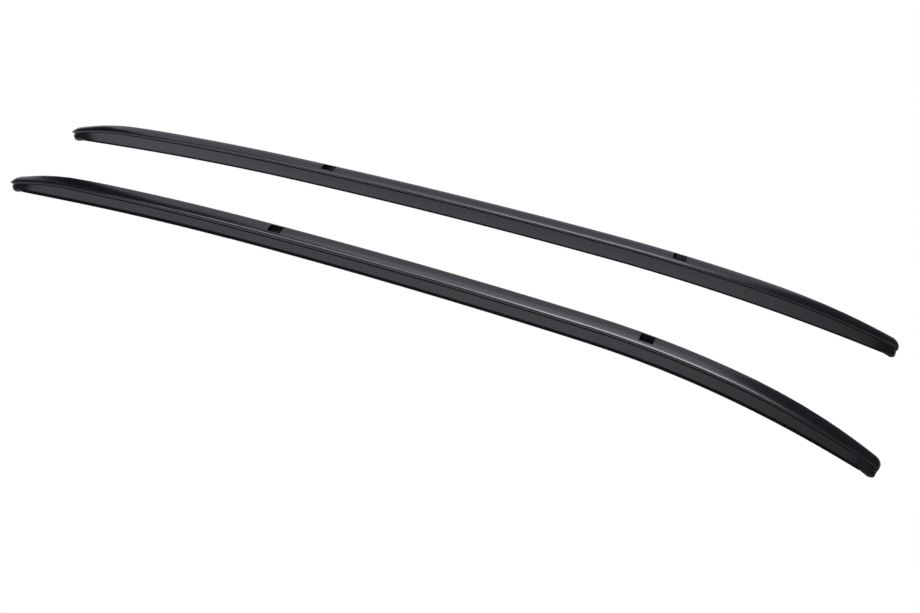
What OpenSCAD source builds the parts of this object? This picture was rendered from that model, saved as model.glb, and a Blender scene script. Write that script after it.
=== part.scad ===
// Pair of roof side rails: two mirrored arched bars that stand side by side on their end feet.
// X runs along the pair with the front at +X, Y is across with the left rail at +Y, Z is up.
// A point of a rail is given by its station x along the base, u outwards and v up from the base.

/* [Rail] */
// Length of each rail along its base
rail_l = 1750; // [1600:10:1900]
// Distance between the two base lines at the rear ends
rear_gap = 247; // [180:1:400]
// Angle by which each rail turns outwards from the rear end on, in degrees
toe_angle = 1.45; // [0:0.05:3]
// Distance from the front tip where the plan view starts to bend outwards
bend_run = 540; // [450:10:850]
// Radius of that bend in the plan view
bend_r = 3810; // [3000:10:9000]

/* [Arch] */
// Radius of the rear stretch of the arch in the side view
rear_arch_r = 5520; // [4500:10:7000]
// Station where the rear stretch ends
rear_arch_end = 505; // [400:10:700]
// Radius of the flat middle stretch
mid_arch_r = 12600; // [9000:100:20000]
// Length of the front stretch
front_arch_run = 568; // [450:2:750]
// Radius of the front stretch
front_arch_r = 2465; // [2300:10:4000]

/* [Section] */
// Height of the bar behind the rear end
rear_h = 31.5; // [29:0.5:36]
// Height of the bar at its deepest place near the front
front_h = 38; // [34:0.5:44]
// Width across the band on top
top_w = 36.5; // [35:0.5:42]
// Width across the base
base_w = 35; // [33:0.5:40]
// Radius of the crown across the top
crown_r = 58; // [45:1:120]
// Distance of the crown's ridge from the middle, towards the inner side
ridge_in = 3; // [0:0.5:5]
// Radius of the rounded outer edge of the band
outer_r = 6.5; // [5:0.5:8]
// Radius of the rounded inner edge of the band
inner_r = 3.5; // [2.5:0.25:4.5]
// Depth of the shadow groove below the band
groove_d = 3.8; // [2:0.1:4.4]
// Height of the shadow groove
groove_h = 4; // [2:0.1:5]
// Distance of the groove's lower edge inside the band's side
groove_in = 1.6; // [1:0.1:2.4]
// Height of the flat lower edge of the band
band_edge = 1.4; // [0.8:0.1:2]
// Thickness of the top wall
roof_t = 3.4; // [2.8:0.1:4]
// Thickness of the side walls
wall_t = 3.2; // [2.6:0.1:3.6]

/* [Ends] */
// Height of the bar at the rear tip before its nose is rounded
rear_tip_h = 12; // [8:0.5:16]
// Length of the rear taper
rear_taper = 140; // [100:5:220]
// Height of the bar at the front tip before its nose is rounded
front_tip_h = 22.5; // [16:0.5:26]
// Length of the front taper
front_taper = 275; // [200:5:340]
// Width of the band at the rear tip as a share of its full width
rear_band_w = 0.56; // [0.5:0.01:0.9]
// Length over which the band gets narrower at the rear
rear_band_run = 200; // [90:5:500]
// Width of the base at the rear tip as a share of its full width
rear_base_w = 0.9; // [0.5:0.01:0.95]
// Length over which the base gets narrower at the rear
rear_base_run = 140; // [60:5:300]
// Width of the band at the front tip as a share of its full width
front_band_w = 0.57; // [0.6:0.01:0.95]
// Length over which the band gets narrower at the front
front_band_run = 205; // [140:5:500]
// Width of the base at the front tip as a share of its full width
front_base_w = 0.96; // [0.6:0.01:0.95]
// Length over which the base gets narrower at the front
front_base_run = 120; // [60:5:300]
// Thickness of the band's outer side at the rear tip as a share of its full thickness
rear_outer_t = 0.4; // [0.3:0.01:1]
// Thickness of the band's outer side at the front tip as a share of its full thickness
front_outer_t = 0.64; // [0.3:0.01:1]
// Thickness of the band's inner side at the rear tip as a share of its full thickness
rear_inner_t = 0.45; // [0.3:0.01:1]
// Thickness of the band's inner side at the front tip as a share of its full thickness
front_inner_t = 1; // [0.3:0.01:1]
// Length over which the band gets thinner at the rear
rear_thin_run = 650; // [200:10:800]
// Length over which the band gets thinner at the front
front_thin_run = 340; // [200:10:600]
// Length over which the rear nose is rounded
rear_nose_r = 12; // [8:1:30]
// Length over which the front nose is rounded
front_nose_r = 14; // [8:1:30]
// Reach of the band beyond the wall at the rear tip
rear_nose_out = 6.5; // [2:0.5:8]
// Reach of the band beyond the wall at the front tip
front_nose_out = 2; // [0.5:0.5:6]
// Length over which the band runs out beyond the wall
nose_run = 30; // [20:1:50]
// Height of the base line above the ground at the rear tip
rear_seat_h = 5.2; // [5:0.1:9]
// Height of the base line above the ground at the front tip
front_seat_h = 5.6; // [5:0.1:9]

/* [Channel and web] */
// Station where the hollow inside starts
channel_rear = 130; // [120:5:140]
// Distance of the front end of the hollow from the front tip
channel_front = 150; // [120:5:180]
// Width of the lengthwise web below the top wall
web_w = 5; // [4:0.5:6]
// Distance of the web's middle from the middle of the bar
web_u = 6.75; // [6:0.25:7.25]
// Depth of the web's lower edge below the crown
web_depth = 15; // [12:0.5:17]

/* [Crossbar slots] */
// Station of the rear slot
rear_slot = 565; // [500:5:620]
// Distance of the front slot from the front tip
front_slot_in = 453; // [420:1:520]
// Length of each slot
slot_l = 27; // [22:0.5:32]
// Width of each slot
slot_w = 23; // [18:0.5:24]
// Depth of each slot below the crown, down to the top of the web
slot_d = 6; // [5:0.25:8]
// Length over which the web is cut away in the rear slot
rear_web_cut = 14; // [8:0.5:18]
// Length over which the web is cut away in the front slot
front_web_cut = 6; // [4:0.5:10]

/* [Anchor plates] */
// Length of the steel plate below each slot
anchor_l = 76; // [66:1:90]
// Clearance of that plate to the walls on both sides
anchor_gap = 2.5; // [1:0.25:4]
// Thickness of that plate
anchor_t = 3; // [2:0.25:4]
// Height of the plate's underside above the base
anchor_v = 9; // [8:0.5:11]
// Core diameter of the tapped hole for the crossbar bolt
anchor_bore = 5; // [4:0.1:6]
// Diameter of the collar round the tapped hole
collar_d = 12; // [10:0.5:14]
// Height of that collar
collar_h = 3; // [2:0.5:4]
// Distance between the two screws of a plate
anchor_screws = 56; // [50:1:62]

/* [Mounting brackets and weld nuts] */
// Station of the rear bracket
rear_bracket = 190; // [180:5:230]
// Distance of the front bracket from the front tip
front_bracket = 230; // [220:5:280]
// Length of each bracket
bracket_l = 72; // [66:1:84]
// Clearance of each bracket to the walls on both sides
bracket_gap = 1; // [0.5:0.25:3]
// Thickness of each bracket
bracket_t = 3; // [2:0.25:4]
// Height of the bracket's underside above the base
bracket_v = 2; // [1:0.5:4]
// Distance between the two screws of a bracket
bracket_screws = 52; // [46:1:58]
// Diameter of the bolt hole in the bracket
bracket_bore = 8.4; // [7:0.2:9]
// Distance across the flats of the nut welded onto the bracket
nut_flats = 13; // [11:0.5:15]
// Height of that nut
nut_h = 6.5; // [4.5:0.5:7]
// Core diameter of the nut's thread
nut_bore = 6.8; // [5:0.1:7]

/* [Screws] */
// Diameter of the screws that hold the plates, the brackets and the feet
screw_d = 4; // [3.5:0.5:5]
// Diameter of the screw heads
screw_head_d = 7.5; // [7:0.5:8]
// Height of the screw heads
screw_head_h = 2; // [1.5:0.25:2.5]
// Length of the thread in the boss
screw_grip = 9; // [7:0.5:10]
// Outer diameter of the bosses inside the bar
boss_d = 10; // [9:0.5:11]

/* [Clip seats] */
// Station of the rear clip seat
rear_clip = 380; // [340:5:420]
// Length of each clip seat
clip_l = 36; // [30:1:44]
// Height of each clip seat
clip_h = 10; // [8:0.5:12]
// Length of the opening for the clip
clip_hole_l = 22; // [18:0.5:24]
// Width of the opening for the clip
clip_hole_w = 12; // [10:0.5:14]

/* [Seals and feet] */
// Thickness of the rubber strip below the bar
seal_t = 4; // [3:0.25:5]
// Reach of the strip's outer lip beyond the wall
lip_out = 2.6; // [1.5:0.1:4]
// Height of the lip against the outer wall
lip_h = 1.6; // [1:0.2:3]
// Station of the joint between the rear and the front strip
seal_joint = 478; // [450:2:500]
// Step between the lips of the two strips at that joint
seal_step = 0.6; // [0.2:0.1:1]
// Gap of that joint
seal_gap = 0.8; // [0.4:0.2:3]
// Length of the rear foot
rear_foot_l = 30; // [24:1:40]
// Length of the front foot
front_foot_l = 26; // [22:1:36]
// Distance of each foot's sides from the sides of the bar's base at the tip
foot_inset = 0.5; // [0:0.25:3]
// Reach of the rear foot beyond the bar's base
foot_out = 2; // [1:0.5:4]
// Length of the rear foot's flat sole
rear_sole_l = 12; // [8:1:20]
// Length of the front foot's flat sole
front_sole_l = 8; // [5:1:12]
// Thickness of the feet above the heads of their screws
foot_floor = 1.8; // [1.5:0.1:2.4]
// Length of the thread of each foot screw in the bar
foot_grip = 8; // [6:0.5:9]

/* [Hidden] */
$fn = 48;
// Clearance between pieces that seat on or in each other
fit = 0.2;
// Clearance of the screw heads and bolts in the rubber strip
play = 0.5;
// Lean of the inner walls up to the height where the hollow starts to narrow
lean = 0.4;
lean_v = 8;
// Height over the base up to which the front end face stands plumb
lead_v = 7;
// Overshoot of a cut beyond the face that it opens
over = 1;
// Rings of a swept shape in each part of the bar
tip_rings = [0, 1.2, 4, 8, 14, 24, 40, 62, 88];
mid_rings = 36;
// Share of the bar's height that the band and the groove may take at the tips
band_share = 0.66;

front_slot = rail_l - front_slot_in;
front_clip = (rear_slot + front_slot) / 2;
front_bracket_x = rail_l - front_bracket;
bend_start = rail_l - bend_run;
front_arch_start = rail_l - front_arch_run;
channel_end = rail_l - channel_front;
// Depths below the crown at the outer and the inner side of the band
outer_fall = pow(top_w / 2 - outer_r + ridge_in, 2) / (2 * crown_r);
inner_fall = pow(top_w / 2 - inner_r - ridge_in, 2) / (2 * crown_r);
outer_band = outer_fall + outer_r + band_edge;
inner_band = inner_fall + inner_r + band_edge;

// Stations where the bar and the strips below it are parted into lengths
rear_clip_cuts = [(rear_bracket + bracket_l / 2 + rear_clip - clip_l / 2) / 2, (rear_clip + clip_l / 2 + rear_slot - anchor_l / 2) / 2];
slot_reach = rear_slot - rear_clip_cuts[1];
clip_reach = 80;
bar_cuts = [0, rear_clip_cuts[0], rear_clip_cuts[1], rear_slot + slot_reach, front_clip - clip_reach, front_clip + clip_reach,
    front_slot - slot_reach, (front_slot + anchor_l / 2 + front_bracket_x - bracket_l / 2) / 2, rail_l];

// The base line in the side view: three tangent arcs
function past(x, start) = pow(max(0, x - start), 2) / 2;
function sag(x) = past(x, 0) / rear_arch_r
    + past(x, rear_arch_end) * (1 / mid_arch_r - 1 / rear_arch_r)
    + past(x, front_arch_start) * (1 / front_arch_r - 1 / mid_arch_r);
climb = (front_seat_h - rear_seat_h + sag(rail_l)) / rail_l;
function base_z(x) = rear_seat_h + climb * x - sag(x);
// The base line in the plan view: straight, then one arc
function base_y(x) = rear_gap / 2 + tan(toe_angle) * x + past(x, bend_start) / bend_r;
function pitch(x) = atan(base_z(x + 0.5) - base_z(x - 0.5));
function heading(x) = atan(base_y(x + 0.5) - base_y(x - 0.5));

// A point of the left rail from its station, its distance outwards and its height over the base
function place(x, u, v, ahead = 0) = let (p = pitch(x), a = heading(x), f = ahead * cos(p) - v * sin(p))
    [x + f * cos(a) - u * sin(a), base_y(x) + f * sin(a) + u * cos(a),
     base_z(x) + ahead * sin(p) + v * cos(p)];

// Shares of the full size along a taper and round a nose
function taper(d, len, tip) = tip + (1 - tip) * (1 - pow(1 - min(1, d / len), 2));
function nose(d, r) = 0.5 + 0.5 * sqrt(1 - pow(1 - max(0, min(1, d / r)), 2));
function noses(x) = nose(x, rear_nose_r) * nose(rail_l - x, front_nose_r);
function full_h(x) = rear_h + (front_h - rear_h) * min(1, max(0, (x - rear_taper) / (rail_l - front_taper - rear_taper)));
function bar_h(x) = full_h(x) * taper(x, rear_taper, rear_tip_h / rear_h)
    * taper(rail_l - x, front_taper, front_tip_h / front_h);
function tip_h(x) = bar_h(x) * noses(x);
function band_w(x) = taper(x, rear_band_run, rear_band_w) * taper(rail_l - x, front_band_run, front_band_w);
function base_half(x) = base_w / 2 * taper(x, rear_base_run, rear_base_w) * taper(rail_l - x, front_base_run, front_base_w);
function outer_t(x) = taper(x, rear_thin_run, rear_outer_t) * taper(rail_l - x, front_thin_run, front_outer_t);
function inner_t(x) = taper(x, rear_thin_run, rear_inner_t) * taper(rail_l - x, front_thin_run, front_inner_t);
function band_depth(x) = outer_band * outer_t(x) + groove_h;

// Outline of the bar at a station, counter-clockwise: base, outer wall, groove, band, inner wall
function arc(cu, cv, r, from, to, n) = [for (i = [0 : n]) let (a = from + (to - from) * i / n)
    [cu + r * cos(a), cv + r * sin(a)]];
function groove(side, depth, g) = [[side * (top_w / 2 - groove_in), -depth - g], [side * (top_w / 2 - groove_d), -depth - 0.75 * g],
    [side * (top_w / 2 - groove_d), -depth - 0.25 * g], [side * (top_w / 2 - 0.4), -depth]];
function backwards(list) = [for (i = [len(list) - 1 : -1 : 0]) list[i]];
function bar_section(x) = let (
        h = tip_h(x),
        s = min(1, band_share * h / band_depth(x)),
        to = outer_t(x) * s,
        ti = inner_t(x) * s,
        w = band_w(x) * noses(x),
        b = base_half(x) * noses(x),
        ou = top_w / 2 - outer_r,
        iu = inner_r - top_w / 2,
        drop = concat(
            groove(1, outer_band * to, groove_h * s),
            [for (p = arc(ou, -outer_fall - outer_r, outer_r, 0, 76, 6)) [p[0], p[1] * to]],
            [for (u = [ou - 4.5, ou - 10, -ridge_in, -ridge_in - 5.5])
                [u, -pow(u + ridge_in, 2) / (2 * crown_r) * (u > -ridge_in ? to : ti)]],
            [for (p = arc(iu, -inner_fall - inner_r, inner_r, 98, 180, 4)) [p[0], p[1] * ti]],
            backwards(groove(-1, inner_band * ti, groove_h * s))))
    concat([[-b, 0], [b, 0]], [for (p = drop) [p[0] * w, h + p[1]]]);

// Triangles of a skin over rings of n points, closed by a fan round a middle point at both ends
function skin_faces(rings, n) = concat(
    [for (r = [0 : rings - 2]) for (i = [0 : n - 1]) let (j = (i + 1) % n) each
        [[r * n + i, (r + 1) * n + j, r * n + j], [r * n + i, (r + 1) * n + i, (r + 1) * n + j]]],
    [for (i = [0 : n - 1]) [rings * n, i, (i + 1) % n]],
    [for (i = [0 : n - 1]) [rings * n + 1, (rings - 1) * n + (i + 1) % n, (rings - 1) * n + i]]);
function middle(ring) = [for (k = [0 : 2]) [for (p = ring) p[k]] * [for (p = ring) 1] / len(ring)];
module skin(rings) {
    n = len(rings[0]);
    polyhedron(concat([for (r = rings) each r], [middle(rings[0]), middle(rings[len(rings) - 1])]),
               skin_faces(len(rings), n));
}

// Stations from a to b with about the spacing of the middle of the bar
function stations(a, b) = let (n = max(1, ceil((b - a) * mid_rings / rail_l))) [for (i = [0 : n]) a + (b - a) * i / n];
tip_l = tip_rings[len(tip_rings) - 1];
// Stations of the bar's rings in the length from a to b
function bar_stations(a, b) = concat(
    a > 0 ? [] : tip_rings,
    stations(a > 0 ? a : tip_l + 30, b < rail_l ? b : rail_l - tip_l - 30),
    b < rail_l ? [] : [for (i = [len(tip_rings) - 1 : -1 : 0]) rail_l - tip_rings[i]]);

// The band runs on over the wall at each tip, forwards at the front and backwards at the rear
function reach(x) = front_nose_out * pow(1 - min(1, (rail_l - x) / nose_run), 2) - rear_nose_out * pow(1 - min(1, x / nose_run), 2);
// Below the band the front end face stands plumb
function lead(v) = -tan(pitch(rail_l)) * (lead_v - v);
function bar_ring(x) = let (sec = bar_section(x), near = pow(1 - min(1, (rail_l - x) / nose_run), 2))
    [for (i = [0 : len(sec) - 1])
        place(x, sec[i][0], sec[i][1], i > 4 && i < len(sec) - 3 ? reach(x) : near * max(0, lead(sec[i][1])))];
x_low = min([for (p = bar_ring(0)) p[0]]);
x_high = max([for (p = bar_ring(rail_l)) p[0]]);
x_middle = (x_low + x_high) / 2;

// Draws the left rail's piece in the frame of the pair, or mirrors it for the right rail
module on_side(side) {
    mirror([0, side < 0 ? 1 : 0, 0]) translate([-x_middle, 0, 0]) children();
}
// Local frame at a station: X along the bar, Y outwards, Z up from the base
module at(x) {
    translate([x, base_y(x), base_z(x)]) rotate([0, -pitch(x), heading(x)]) children();
}
// A block about the local origin with its underside at height v
module slab(l, w, v, t) {
    translate([-l / 2, -w / 2, v]) cube([l, w, t]);
}

// Hollow inside the bar, open below, with the web left standing below the top wall
function hollow(x) = base_half(x) - wall_t;
function neck(x) = (top_w / 2 - groove_d) * band_w(x) - wall_t;
function neck_v(x) = bar_h(x) - band_depth(x) - 1;
function hollow_half(x, v) = lookup(v, [[0, hollow(x)], [lean_v, hollow(x) - lean], [neck_v(x), neck(x)]]);
function channel_section(x) = let (
        h = bar_h(x),
        n = neck(x),
        hl = hollow(x),
        w = band_w(x),
        web_a = web_u * w - web_w / 2,
        web_b = web_u * w + web_w / 2)
    [[-hl, -over - seal_t], [hl, -over - seal_t], [hl, 0], [hl - lean, lean_v], [n, neck_v(x)],
     [n, h - outer_band * outer_t(x) - 0.6], [web_b + 0.8, h - roof_t - 2.4], [web_b, h - roof_t - 2], [web_b, h - web_depth],
     [web_a, h - web_depth], [web_a, h - roof_t - 0.8], [-4, h - roof_t], [1 - n, h - roof_t - 1.4],
     [-n, h - inner_band], [-n, neck_v(x)], [lean - hl, lean_v], [-hl, 0]];
// The hollow of the length from a to b, cut through both of its ends, with its rings between those of the bar
module channel(a, b) {
    from = max(a, channel_rear);
    to = min(b, channel_end);
    n = ceil((to - from) * mid_rings / rail_l);
    skin([for (x = concat(a < channel_rear ? [from] : [a - 5, a + 5], [for (i = [0 : n - 1]) from + (to - from) * (i + 0.5) / n],
                          b > channel_end ? [to] : [b - 5, b + 5]))
        [for (p = channel_section(x)) place(x, p[0], p[1])]]);
}

// The two bosses of a plate whose top lies at height v
module bosses(x, pitch_l, v) {
    at(x) for (d = [-1, 1]) translate([d * pitch_l / 2, 0, v])
        cylinder(d = boss_d, h = bar_h(x + d * pitch_l / 2) - v - roof_t + 1);
}
module boss_holes(x, pitch_l, v) {
    at(x) for (d = [-1, 1]) translate([d * pitch_l / 2, 0, v - over])
        cylinder(d = screw_d, h = screw_grip + 2 * over);
}

// Slot for a crossbar, with the rear end of the web cut deeper
module slot(x, web_cut) {
    at(x) {
        slab(slot_l, slot_w, bar_h(x) - slot_d, slot_d + 2 * over);
        translate([(web_cut - slot_l) / 2, 0, 0])
            slab(web_cut, slot_w, bar_h(x) - web_depth - over, web_depth);
    }
}

// One length of the bar from station a to b
module bar(i) {
    a = bar_cuts[i];
    b = bar_cuts[i + 1];
    slots = [for (x = [rear_slot, front_slot]) if (x > a && x < b) x];
    brackets = [for (x = [rear_bracket, front_bracket_x]) if (x > a && x < b) x];
    color("#3a3f42") difference() {
        union() {
            difference() {
                skin([for (x = bar_stations(a, b)) bar_ring(x)]);
                channel(a, b);
            }
            for (x = slots) bosses(x, anchor_screws, anchor_v + anchor_t);
            for (x = brackets) bosses(x, bracket_screws, bracket_v + bracket_t);
        }
        for (x = slots) slot(x, x == rear_slot ? rear_web_cut : front_web_cut);
        for (x = slots) boss_holes(x, anchor_screws, anchor_v + anchor_t);
        for (x = brackets) boss_holes(x, bracket_screws, bracket_v + bracket_t);
        for (x = foot_screw_x) if (x > a && x < b) at(x) translate([0, 0, -over]) cylinder(d = screw_d, h = foot_grip + over);
    }
}

// Rubber strip below the bar from station a to b, with a lip along the outer wall
function seal_section(b, thin) = [[-b, -seal_t], [b, -seal_t - 0.4], [b + lip_out - thin, -seal_t + 0.8],
    [b + (lip_out - thin) * 0.7, lip_h], [b + fit, lip_h], [b + fit, -fit], [-b, -fit]];
module seal(a, b, thin) {
    skin([for (x = stations(a, b)) [for (p = seal_section(base_half(x), thin)) place(x, p[0], p[1])]]);
}
module seal_openings() {
    for (x = [rear_bracket, front_bracket_x]) at(x) translate([0, 0, -2 * seal_t])
        cylinder(d = bracket_bore + 2 * play, h = 3 * seal_t);
    for (x = [rear_bracket, front_bracket_x]) at(x) for (d = [-1, 1])
        translate([d * bracket_screws / 2, 0, bracket_v - screw_head_h - play]) cylinder(d = screw_head_d + 2 * play, h = seal_t);
    for (x = [rear_clip, front_clip]) at(x) slab(clip_hole_l, clip_hole_w, -2 * seal_t, 3 * seal_t);
}
module rear_seal(a, b) {
    color("#101112") difference() {
        seal(a, b, 0);
        seal_openings();
    }
}
module front_seal(a, b) {
    color("#101112") difference() {
        seal(a, b, seal_step);
        seal_openings();
    }
}
bracket_reach = bracket_l / 2 + 4;
rear_seal_cuts = [rear_foot_l - foot_out + fit, rear_bracket - bracket_reach, rear_bracket + bracket_reach, bar_cuts[1],
    seal_joint - seal_gap / 2];
front_seal_cuts = [seal_joint + seal_gap / 2, bar_cuts[4], bar_cuts[5], front_bracket_x - bracket_reach, front_bracket_x + bracket_reach,
    rail_l - front_foot_l - fit];

// Feet: a rounded pad behind the rear tip and a wedge below the front tip, both flat on the ground
foot_screw_x = [rear_foot_l * 0.6, rail_l - front_foot_l * 0.6];
foot_depth = 3 * max(rear_seat_h, front_seat_h);
function ground_v(x) = -base_z(x) / cos(pitch(x));
function foot_ring(x, v) = let (b = base_half(x) * noses(x) - foot_inset, near = pow(1 - min(1, (rail_l - x) / nose_run), 2))
    [for (p = [[-b, v], [b, v], [b, -fit], [-b, -fit]]) place(x, p[0], p[1], near * lead(p[1]))];
module ground_cut() {
    translate([-rail_l / 4, 0, -2 * foot_depth]) cube([rail_l * 1.5, rear_gap + rail_l / 4, 2 * foot_depth]);
}
module foot_screw_hole(x) {
    at(x) translate([0, 0, -foot_depth]) {
        cylinder(d = screw_d + 2 * fit, h = foot_depth + over);
        cylinder(d = screw_head_d + 2 * fit, h = foot_depth - foot_floor);
    }
}
module rear_foot() {
    color("#141516") difference() {
        skin([for (r = concat([[-foot_out, -0.5 * seal_t], [-0.7 * foot_out, -0.8 * seal_t]],
                              [for (x = tip_rings) if (x < rear_sole_l) [x, ground_v(x) - over]],
                              [[rear_sole_l, ground_v(rear_sole_l)], [rear_foot_l - foot_out, -seal_t]])) foot_ring(r[0], r[1])]);
        ground_cut();
        foot_screw_hole(foot_screw_x[0]);
    }
}
// The front foot's end face stands plumb below the end face of the bar
module front_foot() {
    heel = rail_l - front_sole_l;
    color("#141516") difference() {
        skin([for (r = concat([[rail_l - front_foot_l, -seal_t], [heel, ground_v(heel)]],
                              [for (d = backwards(tip_rings)) if (d < front_sole_l) [rail_l - d, ground_v(rail_l - d) - over]])) foot_ring(r[0], r[1])]);
        ground_cut();
        foot_screw_hole(foot_screw_x[1]);
    }
}

// Steel plate below a slot, with a collar round the tapped hole for the crossbar bolt
module anchor(x) {
    w = 2 * (min([for (d = [-0.5, 0.5]) hollow_half(x + d * anchor_l, anchor_v + anchor_t)]) - anchor_gap);
    color("#6d7175") at(x) difference() {
        union() {
            slab(anchor_l, w, anchor_v, anchor_t);
            translate([0, 0, anchor_v + anchor_t]) cylinder(d = collar_d, h = collar_h);
        }
        translate([0, 0, anchor_v - over]) cylinder(d = anchor_bore, h = anchor_t + collar_h + 2 * over);
        for (d = [-1, 1]) translate([d * anchor_screws / 2, 0, anchor_v - over])
            cylinder(d = screw_d + 2 * fit, h = anchor_t + 2 * over);
    }
}

// Steel bracket near an end, and the nut welded onto it for the bolt that comes up through the car's roof
module bracket(x) {
    w = 2 * (min([for (d = [-0.5, 0.5]) hollow_half(x + d * bracket_l, bracket_v + bracket_t)]) - bracket_gap);
    color("#6d7175") at(x) difference() {
        slab(bracket_l, w, bracket_v, bracket_t);
        translate([0, 0, bracket_v - over]) cylinder(d = bracket_bore, h = bracket_t + 2 * over);
        for (d = [-1, 1]) translate([d * bracket_screws / 2, 0, bracket_v - over])
            cylinder(d = screw_d + 2 * fit, h = bracket_t + 2 * over);
    }
}
module nut(x) {
    color("#b9bcc0") at(x) translate([0, 0, bracket_v + bracket_t]) difference() {
        cylinder(d = nut_flats / cos(30), h = nut_h, $fn = 6);
        translate([0, 0, -over]) cylinder(d = nut_bore, h = nut_h + 2 * over);
    }
}

// Plastic block between the walls that takes a snap-in clip from below
module clip_seat(x) {
    foot = hollow_half(x, fit) - 2 * fit;
    head = hollow_half(x, clip_h) - 2 * fit;
    color("#1b1c1e") at(x) difference() {
        translate([-clip_l / 2, 0, 0]) rotate([90, 0, 90]) linear_extrude(clip_l)
            polygon([[-foot, fit], [foot, fit], [head, clip_h], [-head, clip_h]]);
        slab(clip_hole_l, clip_hole_w, -over, clip_h - 1);
    }
}

// Pan-head screw with the underside of its head at the local origin
module screw(grip) {
    translate([0, 0, -screw_head_h]) cylinder(d = screw_head_d, h = screw_head_h);
    cylinder(d = screw_d, h = grip);
}
module bracket_screws_set() {
    color("#2a2b2d") {
        for (x = [rear_slot, front_slot]) at(x) for (d = [-1, 1])
            translate([d * anchor_screws / 2, 0, anchor_v]) screw(anchor_t + screw_grip);
        for (x = [rear_bracket, front_bracket_x]) at(x) for (d = [-1, 1])
            translate([d * bracket_screws / 2, 0, bracket_v]) screw(bracket_t + screw_grip);
    }
}
module foot_screws_set() {
    color("#2a2b2d") for (x = foot_screw_x) at(x) translate([0, 0, -foot_floor]) screw(foot_floor + foot_grip - over);
}

on_side(1) bar(0);  // left_bar_rear_end
on_side(1) bar(1);  // left_bar_rear_clip
on_side(1) bar(2);  // left_bar_rear_slot
on_side(1) bar(3);  // left_bar_rear_middle
on_side(1) bar(4);  // left_bar_front_clip
on_side(1) bar(5);  // left_bar_front_middle
on_side(1) bar(6);  // left_bar_front_slot
on_side(1) bar(7);  // left_bar_front_end
on_side(1) rear_seal(rear_seal_cuts[0], rear_seal_cuts[1]);  // left_rear_seal_tip
on_side(1) rear_seal(rear_seal_cuts[1], rear_seal_cuts[2]);  // left_rear_seal_bracket
on_side(1) rear_seal(rear_seal_cuts[2], rear_seal_cuts[3]);  // left_rear_seal_link
on_side(1) rear_seal(rear_seal_cuts[3], rear_seal_cuts[4]);  // left_rear_seal_clip
on_side(1) front_seal(front_seal_cuts[0], front_seal_cuts[1]);  // left_front_seal_rear
on_side(1) front_seal(front_seal_cuts[1], front_seal_cuts[2]);  // left_front_seal_clip
on_side(1) front_seal(front_seal_cuts[2], front_seal_cuts[3]);  // left_front_seal_middle
on_side(1) front_seal(front_seal_cuts[3], front_seal_cuts[4]);  // left_front_seal_bracket
on_side(1) front_seal(front_seal_cuts[4], front_seal_cuts[5]);  // left_front_seal_tip
on_side(1) rear_foot();  // left_rear_foot
on_side(1) front_foot();  // left_front_foot
on_side(1) anchor(rear_slot);  // left_rear_anchor
on_side(1) anchor(front_slot);  // left_front_anchor
on_side(1) bracket(rear_bracket);  // left_rear_bracket
on_side(1) bracket(front_bracket_x);  // left_front_bracket
on_side(1) nut(rear_bracket);  // left_rear_nut
on_side(1) nut(front_bracket_x);  // left_front_nut
on_side(1) clip_seat(rear_clip);  // left_rear_clip_seat
on_side(1) clip_seat(front_clip);  // left_front_clip_seat
on_side(1) bracket_screws_set();  // left_bracket_screws
on_side(1) foot_screws_set();  // left_foot_screws
on_side(-1) bar(0);  // right_bar_rear_end
on_side(-1) bar(1);  // right_bar_rear_clip
on_side(-1) bar(2);  // right_bar_rear_slot
on_side(-1) bar(3);  // right_bar_rear_middle
on_side(-1) bar(4);  // right_bar_front_clip
on_side(-1) bar(5);  // right_bar_front_middle
on_side(-1) bar(6);  // right_bar_front_slot
on_side(-1) bar(7);  // right_bar_front_end
on_side(-1) rear_seal(rear_seal_cuts[0], rear_seal_cuts[1]);  // right_rear_seal_tip
on_side(-1) rear_seal(rear_seal_cuts[1], rear_seal_cuts[2]);  // right_rear_seal_bracket
on_side(-1) rear_seal(rear_seal_cuts[2], rear_seal_cuts[3]);  // right_rear_seal_link
on_side(-1) rear_seal(rear_seal_cuts[3], rear_seal_cuts[4]);  // right_rear_seal_clip
on_side(-1) front_seal(front_seal_cuts[0], front_seal_cuts[1]);  // right_front_seal_rear
on_side(-1) front_seal(front_seal_cuts[1], front_seal_cuts[2]);  // right_front_seal_clip
on_side(-1) front_seal(front_seal_cuts[2], front_seal_cuts[3]);  // right_front_seal_middle
on_side(-1) front_seal(front_seal_cuts[3], front_seal_cuts[4]);  // right_front_seal_bracket
on_side(-1) front_seal(front_seal_cuts[4], front_seal_cuts[5]);  // right_front_seal_tip
on_side(-1) rear_foot();  // right_rear_foot
on_side(-1) front_foot();  // right_front_foot
on_side(-1) anchor(rear_slot);  // right_rear_anchor
on_side(-1) anchor(front_slot);  // right_front_anchor
on_side(-1) bracket(rear_bracket);  // right_rear_bracket
on_side(-1) bracket(front_bracket_x);  // right_front_bracket
on_side(-1) nut(rear_bracket);  // right_rear_nut
on_side(-1) nut(front_bracket_x);  // right_front_nut
on_side(-1) clip_seat(rear_clip);  // right_rear_clip_seat
on_side(-1) clip_seat(front_clip);  // right_front_clip_seat
on_side(-1) bracket_screws_set();  // right_bracket_screws
on_side(-1) foot_screws_set();  // right_foot_screws
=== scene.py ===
import math
import bpy
from mathutils import Matrix, Vector


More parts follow.
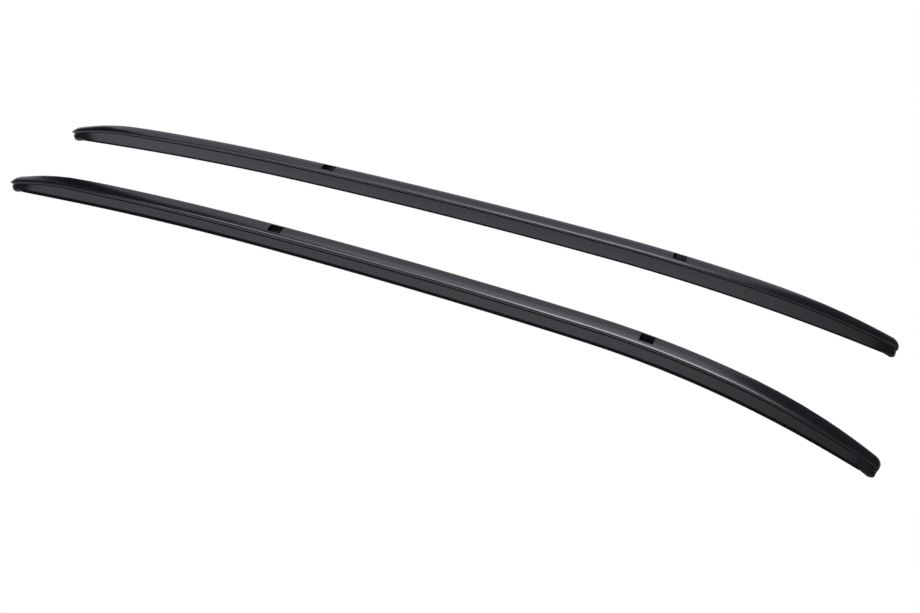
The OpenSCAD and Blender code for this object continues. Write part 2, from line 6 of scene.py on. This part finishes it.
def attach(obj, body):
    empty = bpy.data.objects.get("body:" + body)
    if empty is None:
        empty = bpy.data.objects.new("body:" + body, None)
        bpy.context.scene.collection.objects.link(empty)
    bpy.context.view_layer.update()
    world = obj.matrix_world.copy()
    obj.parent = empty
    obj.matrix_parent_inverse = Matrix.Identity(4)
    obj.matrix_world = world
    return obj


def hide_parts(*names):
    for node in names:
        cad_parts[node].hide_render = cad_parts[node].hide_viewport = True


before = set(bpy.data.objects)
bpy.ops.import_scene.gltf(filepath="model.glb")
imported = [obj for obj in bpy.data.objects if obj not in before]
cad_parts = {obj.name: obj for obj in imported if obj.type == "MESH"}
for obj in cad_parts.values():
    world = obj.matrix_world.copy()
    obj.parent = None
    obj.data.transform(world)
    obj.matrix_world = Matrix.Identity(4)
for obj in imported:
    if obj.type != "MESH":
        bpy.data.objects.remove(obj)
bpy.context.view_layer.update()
bpy.ops.object.select_all(action="DESELECT")
scene = bpy.context.scene
scene.view_settings.view_transform = "Standard"

# Viewpoint: the eye stands 2.6 m to the right of the pair's middle, 0.6 m to the front of it and 1.7 m up.
# It looks down across both rails, with the picture tilted by 10 degrees. The picture is 920 by 613 pixels.
PICTURE_W = 920
FOCAL_PX = 1616.0
SENSOR_W = 36
SIGHT_LIMIT = 50
YAW, PITCH, ROLL = math.radians(-12.160), math.radians(33.436), math.radians(9.971)
EYE = Vector((0.6029, -2.6141, 1.7144))
ahead = Vector((math.sin(YAW) * math.cos(PITCH), math.cos(YAW) * math.cos(PITCH), -math.sin(PITCH)))
level = Vector((math.cos(YAW), -math.sin(YAW), 0))
rise = level.cross(ahead)
right = math.cos(ROLL) * level + math.sin(ROLL) * rise
upward = math.cos(ROLL) * rise - math.sin(ROLL) * level
bpy.ops.object.camera_add()
camera = bpy.context.object
camera.data.sensor_width = SENSOR_W
camera.data.lens = FOCAL_PX / PICTURE_W * SENSOR_W
camera.data.clip_end = SIGHT_LIMIT
camera.matrix_world = Matrix((right, upward, -ahead)).transposed().to_4x4()
camera.location = EYE
scene.camera = camera

# Bars: one hollow aluminium profile per rail, stretch-bent and swaged down at both ends, with a crowned
# band on top and a shadow groove on each side. Powder-coated black all over, inside too. The solids have
# each bar in eight lengths, which are welded here into the one piece that a real bar is.
SIDES = ("left", "right")
BAR_LENGTHS = (
    "rear_end", "rear_clip", "rear_slot", "rear_middle",
    "front_clip", "front_middle", "front_slot", "front_end")
MM = 0.001
BAR_EDGE = 0.4 * MM
# A Mix node has sockets of the same name for numbers, vectors and colours, so its colours go by number.
COLOUR_A, COLOUR_B, MIXED_COLOUR = 6, 7, 2


def linear(hex_colour):
    """An sRGB hex colour as linear red, green, blue and alpha."""
    parts = [int(hex_colour[i:i + 2], 16) / 255 for i in (1, 3, 5)]
    return [c / 12.92 if c <= 0.04045 else ((c + 0.055) / 1.055) ** 2.4 for c in parts] + [1]


def add_node(tree, kind, settings, inputs):
    """A node with its settings, and its sockets set to values or fed by other sockets."""
    made = tree.nodes.new(kind)
    for name, value in settings.items():
        setattr(made, name, value)
    for name, value in inputs.items():
        if isinstance(value, bpy.types.NodeSocket):
            tree.links.new(value, made.inputs[name])
        else:
            made.inputs[name].default_value = value
    return made


def new_material(name):
    """An empty material with its tree and the place of each point on the object, in metres."""
    made = bpy.data.materials.new(name)
    made.use_nodes = True
    made.node_tree.nodes.clear()
    place = add_node(made.node_tree, "ShaderNodeTexCoord", {}, {})
    return made, made.node_tree, place.outputs["Object"]


def dress(piece, material):
    """Gives a piece its one material."""
    piece.data.materials.clear()
    piece.data.materials.append(material)


# Powder coat: a hard polyester film baked onto the metal, between satin and gloss, with a faint orange peel.
# It gives a near-black face with soft-edged reflections. The peel's grains are about 1.5 mm across, and
# clouds of 60 mm vary the tone and the gloss a little.
PEEL_GRAIN = 1.5 * MM
COAT_CLOUD = 60 * MM
powder_coat, tree, place = new_material("black_powder_coat")
peel = add_node(tree, "ShaderNodeTexNoise", {}, {
    "Vector": place, "Scale": 1 / PEEL_GRAIN, "Detail": 2, "Roughness": 0.5})
cloud = add_node(tree, "ShaderNodeTexNoise", {}, {
    "Vector": place, "Scale": 1 / COAT_CLOUD, "Detail": 3, "Roughness": 0.5})
tone = add_node(tree, "ShaderNodeMix", {"data_type": "RGBA"}, {
    "Factor": cloud.outputs["Fac"], COLOUR_A: linear("#070809"), COLOUR_B: linear("#0b0c0e")})
gloss = add_node(tree, "ShaderNodeMapRange", {}, {
    "Value": cloud.outputs["Fac"], "To Min": 0.19, "To Max": 0.23})
bump = add_node(tree, "ShaderNodeBump", {}, {
    "Height": peel.outputs["Fac"], "Strength": 0.02, "Distance": 0.4 * MM})
shader = add_node(tree, "ShaderNodeBsdfPrincipled", {}, {
    "Base Color": tone.outputs[MIXED_COLOUR], "Roughness": gloss.outputs["Result"],
    "Normal": bump.outputs["Normal"], "IOR": 1.5})
add_node(tree, "ShaderNodeOutputMaterial", {}, {"Surface": shader.outputs["BSDF"]})

# The welding of a piece: what counts as one point, how far from a joint its end faces reach, how far they
# face along the rail, the widest gap that is closed, and the angles up to which a face is flat or smooth.
ONE_POINT = 0.002 * MM
JOINT_REACH = 8 * MM
JOINT_FACING = 0.95
JOINT_GAP = 0.06 * MM
FLAT_ANGLE = math.radians(0.2)
SMOOTH_ANGLE = math.radians(32)
EDGE_ANGLE = math.radians(36)


def welded_copy(node):
    """A welded copy of a CAD node's mesh as an object of its own, selected and active."""
    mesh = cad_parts[node].data.copy()
    piece = bpy.data.objects.new(mesh.name, mesh)
    scene.collection.objects.link(piece)
    bpy.ops.object.select_all(action="DESELECT")
    piece.select_set(True)
    bpy.context.view_layer.objects.active = piece
    if mesh.has_custom_normals:
        bpy.ops.mesh.customdata_custom_splitnormals_clear()
    bpy.ops.object.mode_set(mode="EDIT")
    bpy.ops.mesh.select_all(action="SELECT")
    bpy.ops.mesh.remove_doubles(threshold=ONE_POINT)
    bpy.ops.object.mode_set(mode="OBJECT")
    return piece


def reach_along(node):
    """The lowest and the highest X of a CAD node."""
    along = [v.co.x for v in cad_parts[node].data.vertices]
    return min(along), max(along)


def one_piece(nodes, name, edge_radius):
    """A piece that stands for CAD nodes in a row: their meshes welded into one, smooth, with broken edges."""
    joints = [(reach_along(a)[1] + reach_along(b)[0]) / 2 for a, b in zip(nodes, nodes[1:])]
    parts = [welded_copy(node) for node in nodes]
    piece = parts[0]
    for part in parts:
        part.select_set(True)
    bpy.context.view_layer.objects.active = piece
    if joints:
        bpy.ops.object.join()
    piece.name = piece.data.name = name

    # The end faces at the joints go, and the rims that they leave are welded to each other.
    for vertex in piece.data.vertices:
        vertex.select = False
    for edge in piece.data.edges:
        edge.select = False
    for face in piece.data.polygons:
        at_joint = any(abs(face.center.x - x) < JOINT_REACH for x in joints)
        face.select = at_joint and abs(face.normal.x) > JOINT_FACING
    bpy.ops.object.mode_set(mode="EDIT")
    bpy.ops.mesh.select_mode(type="FACE")
    if joints:
        bpy.ops.mesh.delete(type="FACE")
        bpy.ops.mesh.select_mode(type="VERT")
        bpy.ops.mesh.select_all(action="DESELECT")
        bpy.ops.mesh.select_non_manifold()
        bpy.ops.mesh.remove_doubles(threshold=JOINT_GAP)
    bpy.ops.mesh.select_all(action="SELECT")
    bpy.ops.mesh.dissolve_limited(angle_limit=FLAT_ANGLE)
    bpy.ops.object.mode_set(mode="OBJECT")

    bpy.ops.object.shade_smooth_by_angle(angle=SMOOTH_ANGLE)
    bevel = piece.modifiers.new("broken edges", "BEVEL")
    bevel.width = edge_radius
    bevel.segments = 2
    bevel.limit_method = "ANGLE"
    bevel.angle_limit = EDGE_ANGLE
    bevel.harden_normals = True
    bpy.ops.object.modifier_apply(modifier=bevel.name)
    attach(piece, "root")
    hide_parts(*nodes)
    return piece


for side in SIDES:
    lengths = ["%s_bar_%s" % (side, part) for part in BAR_LENGTHS]
    bar = one_piece(lengths, side + "_coated_bar", BAR_EDGE)
    dress(bar, powder_coat)

# Rubber strips: extruded EPDM between the bar and the roof, a rear and a front strip per rail, with a thicker
# lip along the outer side. The solids have them in four and five lengths, which are welded here as well.
SEAL_LENGTHS = {
    "rear": ("tip", "bracket", "link", "clip"),
    "front": ("rear", "clip", "middle", "bracket", "tip")}
SEAL_EDGE = 0.3 * MM

# EPDM rubber: cured black rubber that swallows light, with the cloudy bloom of its wax in patches of 30 mm.
# Its skin is finer than 0.2 mm, and is drawn 0.8 mm across so that it shows close up.
RUBBER_GRAIN = 0.8 * MM
RUBBER_BLOOM = 30 * MM
rubber, tree, place = new_material("epdm_rubber")
grain = add_node(tree, "ShaderNodeTexNoise", {}, {
    "Vector": place, "Scale": 1 / RUBBER_GRAIN, "Detail": 3, "Roughness": 0.6})
bloom = add_node(tree, "ShaderNodeTexNoise", {}, {
    "Vector": place, "Scale": 1 / RUBBER_BLOOM, "Detail": 3, "Roughness": 0.6})
tone = add_node(tree, "ShaderNodeMix", {"data_type": "RGBA"}, {
    "Factor": bloom.outputs["Fac"], COLOUR_A: linear("#060606"), COLOUR_B: linear("#0b0b0c")})
bump = add_node(tree, "ShaderNodeBump", {}, {
    "Height": grain.outputs["Fac"], "Strength": 0.25, "Distance": 0.3 * MM})
shader = add_node(tree, "ShaderNodeBsdfPrincipled", {}, {
    "Base Color": tone.outputs[MIXED_COLOUR], "Roughness": 0.8,
    "Normal": bump.outputs["Normal"], "IOR": 1.5, "Specular IOR Level": 0.04})
add_node(tree, "ShaderNodeOutputMaterial", {}, {"Surface": shader.outputs["BSDF"]})

for side in SIDES:
    for end, parts in SEAL_LENGTHS.items():
        lengths = ["%s_%s_seal_%s" % (side, end, part) for part in parts]
        seal = one_piece(lengths, "%s_%s_rubber_strip" % (side, end), SEAL_EDGE)
        dress(seal, rubber)

# Feet: moulded pads of glass-filled nylon below both tips, each held by one screw from below.
# Matt black. The mould's eroded grain is finer than 0.1 mm, and is drawn 0.5 mm across so that it shows.
ENDS = ("rear", "front")
FOOT_EDGE = 0.6 * MM
NYLON_GRAIN = 0.5 * MM
nylon, tree, place = new_material("filled_nylon")
grain = add_node(tree, "ShaderNodeTexNoise", {}, {
    "Vector": place, "Scale": 1 / NYLON_GRAIN, "Detail": 2, "Roughness": 0.6})
tone = add_node(tree, "ShaderNodeMix", {"data_type": "RGBA"}, {
    "Factor": grain.outputs["Fac"], COLOUR_A: linear("#101011"), COLOUR_B: linear("#19191b")})
bump = add_node(tree, "ShaderNodeBump", {}, {
    "Height": grain.outputs["Fac"], "Strength": 0.3, "Distance": 0.2 * MM})
shader = add_node(tree, "ShaderNodeBsdfPrincipled", {}, {
    "Base Color": tone.outputs[MIXED_COLOUR], "Roughness": 0.55,
    "Normal": bump.outputs["Normal"], "IOR": 1.52, "Specular IOR Level": 0.35})
add_node(tree, "ShaderNodeOutputMaterial", {}, {"Surface": shader.outputs["BSDF"]})

for side in SIDES:
    for end in ENDS:
        foot = one_piece(["%s_%s_foot" % (side, end)], "%s_%s_pad" % (side, end), FOOT_EDGE)
        dress(foot, nylon)

# Anchor plates, brackets and weld nuts: pressed and tapped sheet steel inside the bar, zinc plated.
# A dull blue-grey metal, whose plating is cloudy in spots of about 6 mm.
PLATING_CLOUD = 6 * MM
zinc, tree, place = new_material("zinc_plated_steel")
cloud = add_node(tree, "ShaderNodeTexNoise", {}, {
    "Vector": place, "Scale": 1 / PLATING_CLOUD, "Detail": 4, "Roughness": 0.6})
tone = add_node(tree, "ShaderNodeMix", {"data_type": "RGBA"}, {
    "Factor": cloud.outputs["Fac"], COLOUR_A: linear("#7c8286"), COLOUR_B: linear("#94999b")})
gloss = add_node(tree, "ShaderNodeMapRange", {}, {
    "Value": cloud.outputs["Fac"], "To Min": 0.38, "To Max": 0.55})
shader = add_node(tree, "ShaderNodeBsdfPrincipled", {}, {
    "Base Color": tone.outputs[MIXED_COLOUR], "Roughness": gloss.outputs["Result"], "Metallic": 1.0})
add_node(tree, "ShaderNodeOutputMaterial", {}, {"Surface": shader.outputs["BSDF"]})

for side in SIDES:
    for end in ENDS:
        for kind in ("anchor", "bracket", "nut"):
            dress(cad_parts["%s_%s_%s" % (side, end, kind)], zinc)

# Clip seats: moulded acetal blocks between the bar's walls, each with a socket that is open below.
# Plain black and slightly shiny. The grain of the mould is drawn 0.6 mm across so that it shows.
ACETAL_GRAIN = 0.6 * MM
acetal, tree, place = new_material("black_acetal")
grain = add_node(tree, "ShaderNodeTexNoise", {}, {
    "Vector": place, "Scale": 1 / ACETAL_GRAIN, "Detail": 2, "Roughness": 0.5})
bump = add_node(tree, "ShaderNodeBump", {}, {
    "Height": grain.outputs["Fac"], "Strength": 0.1, "Distance": 0.2 * MM})
shader = add_node(tree, "ShaderNodeBsdfPrincipled", {}, {
    "Base Color": linear("#161617"), "Roughness": 0.42, "Normal": bump.outputs["Normal"], "IOR": 1.48})
add_node(tree, "ShaderNodeOutputMaterial", {}, {"Surface": shader.outputs["BSDF"]})

for side in SIDES:
    for end in ENDS:
        dress(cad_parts["%s_%s_clip_seat" % (side, end)], acetal)

# Screws: cold-headed steel with a black oxide skin, in the bosses of the bar and in the feet.
# The skin's gloss changes in spots of about 2 mm.
OXIDE_CLOUD = 2 * MM
oxide, tree, place = new_material("black_oxide_steel")
cloud = add_node(tree, "ShaderNodeTexNoise", {}, {
    "Vector": place, "Scale": 1 / OXIDE_CLOUD, "Detail": 2, "Roughness": 0.5})
gloss = add_node(tree, "ShaderNodeMapRange", {}, {
    "Value": cloud.outputs["Fac"], "To Min": 0.35, "To Max": 0.5})
shader = add_node(tree, "ShaderNodeBsdfPrincipled", {}, {
    "Base Color": linear("#2b2b2e"), "Roughness": gloss.outputs["Result"], "Metallic": 1.0})
add_node(tree, "ShaderNodeOutputMaterial", {}, {"Surface": shader.outputs["BSDF"]})

for side in SIDES:
    for kind in ("bracket_screws", "foot_screws"):
        dress(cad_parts["%s_%s" % (side, kind)], oxide)

# Floor and surround: plain white to the camera. To the light, the floor is matt and carries painted shade: it
# is darker on the near side and towards the front ends. The surround is a dim blue-grey. The bars mirror the
# floor's painted shade as a painted reflection.
# A Mix Shader's sockets go by number: the factor, what the light meets, and what the camera sees.
FLOOR_SIZE = 40
# Painted shade on the floor: the spans across and along it over which it darkens, and how dark it gets there.
NEAR_SHADE_SPAN, NEAR_PAINTED_SHADE = (-0.14, -0.06), 0.67
FRONT_SHADE_SPAN, FRONT_PAINTED_SHADE = (0.3, 0.95), 0.38
floor_with_painted_shade, tree, place = new_material("studio_floor")
across = add_node(tree, "ShaderNodeSeparateXYZ", {}, {"Vector": place})
# Painted shade: the floor's colour darkens on the near side and towards the front ends, and the two are
# multiplied.
near_painted_shade = add_node(tree, "ShaderNodeMapRange", {}, {
    "Value": across.outputs["Y"], "From Min": NEAR_SHADE_SPAN[0], "From Max": NEAR_SHADE_SPAN[1],
    "To Min": NEAR_PAINTED_SHADE, "To Max": 1.0})
front_painted_shade = add_node(tree, "ShaderNodeMapRange", {"interpolation_type": "SMOOTHSTEP"}, {
    "Value": across.outputs["X"], "From Min": FRONT_SHADE_SPAN[0], "From Max": FRONT_SHADE_SPAN[1],
    "To Min": 1.0, "To Max": FRONT_PAINTED_SHADE})
shade = add_node(tree, "ShaderNodeMath", {"operation": "MULTIPLY"}, {
    0: near_painted_shade.outputs["Result"], 1: front_painted_shade.outputs["Result"]})
matt = add_node(tree, "ShaderNodeBsdfDiffuse", {}, {"Color": shade.outputs["Value"]})
white = add_node(tree, "ShaderNodeEmission", {}, {"Color": linear("#ffffff"), "Strength": 1.0})
rays = add_node(tree, "ShaderNodeLightPath", {}, {})
seen = add_node(tree, "ShaderNodeMixShader", {}, {
    0: rays.outputs["Is Camera Ray"], 1: matt.outputs["BSDF"], 2: white.outputs["Emission"]})
add_node(tree, "ShaderNodeOutputMaterial", {}, {"Surface": seen.outputs["Shader"]})
bpy.ops.mesh.primitive_plane_add(size=FLOOR_SIZE, location=(0, 0, 0))
floor = bpy.context.object
floor.name = "studio_floor"
dress(floor, floor_with_painted_shade)

surround = bpy.data.worlds.new("studio")
scene.world = surround
surround.use_nodes = True
tree = surround.node_tree
tree.nodes.clear()
dim = add_node(tree, "ShaderNodeBackground", {}, {"Color": linear("#e8f4ff"), "Strength": 0.126})
white = add_node(tree, "ShaderNodeBackground", {}, {"Color": linear("#ffffff"), "Strength": 1.0})
rays = add_node(tree, "ShaderNodeLightPath", {}, {})
seen = add_node(tree, "ShaderNodeMixShader", {}, {
    0: rays.outputs["Is Camera Ray"], 1: dim.outputs["Background"], 2: white.outputs["Background"]})
add_node(tree, "ShaderNodeOutputWorld", {}, {"Surface": seen.outputs["Shader"]})

# Lamps: two soft lamps over the near side, and wide panels above and behind. The panels reach little further
# forward than the front ends and leave gaps between them, so that the bars mirror both light and dark.
# Each has its name, place, the point that it faces, width and depth, watts and tint.
LAMPS = (
    ("key lamp", (0.1, -2.1, 2.2), (0.1, -0.1, 0), (1.2, 2.2), 102.9, "#faf8ff"),
    ("rear lamp", (-1.3, -2.0, 2.2), (-0.4, 0, 0), (1.6, 1.8), 49.68, "#eff4ff"),
    ("ceiling panel", (0, 0.1, 3.0), (0, 0.1, 0), (2.2, 1.4), 34.65, "#f6f5ff"),
    ("low panel", (-1.1, 2.4, 0.85), (-1.1, 0, 0.85), (4.2, 1.5), 9.01, "#f1f0ff"),
    ("low rear panel", (-2.8, 2.35, 0.65), (-2.8, 0, 0.65), (1.1, 0.9), 2.266, "#f6f6ff"),
    ("high panel", (-1.1, 2.4, 2.3), (-1.1, 0, 2.3), (4.2, 1.4), 14.31, "#f1f0ff"),
    ("top panel", (-0.35, 1.5, 3.0), (-0.35, 0, 0), (2.7, 1.4), 23.32, "#f1f0ff"))
for name, where, aim, size, watts, tint in LAMPS:
    bpy.ops.object.light_add(type="AREA", location=where)
    lamp = bpy.context.object
    lamp.name = name
    lamp.data.shape = "RECTANGLE"
    lamp.data.size, lamp.data.size_y = size
    lamp.data.energy = watts
    lamp.data.color = linear(tint)[:3]
    lamp.rotation_euler = (Vector(aim) - Vector(where)).to_track_quat("-Z", "Y").to_euler()

# Flag: a narrow card of black felt that stands upright behind the rails, beyond their rear ends. The near
# bar's rear end mirrors it as a dark wedge. The camera doesn't see it.
FLAG_PLACE = (-1.29, 0.6, 0.735)
FLAG_SIZE = (0.34, 1.3, 1)
bpy.ops.mesh.primitive_plane_add(size=1, location=FLAG_PLACE, rotation=(math.pi / 2, 0, 0))
flag = bpy.context.object
flag.name = "black_flag"
flag.scale = FLAG_SIZE
felt, tree, place = new_material("black_felt")
matt = add_node(tree, "ShaderNodeBsdfDiffuse", {}, {"Color": linear("#1a1a1a")})
add_node(tree, "ShaderNodeOutputMaterial", {}, {"Surface": matt.outputs["BSDF"]})
dress(flag, felt)
flag.visible_camera = False
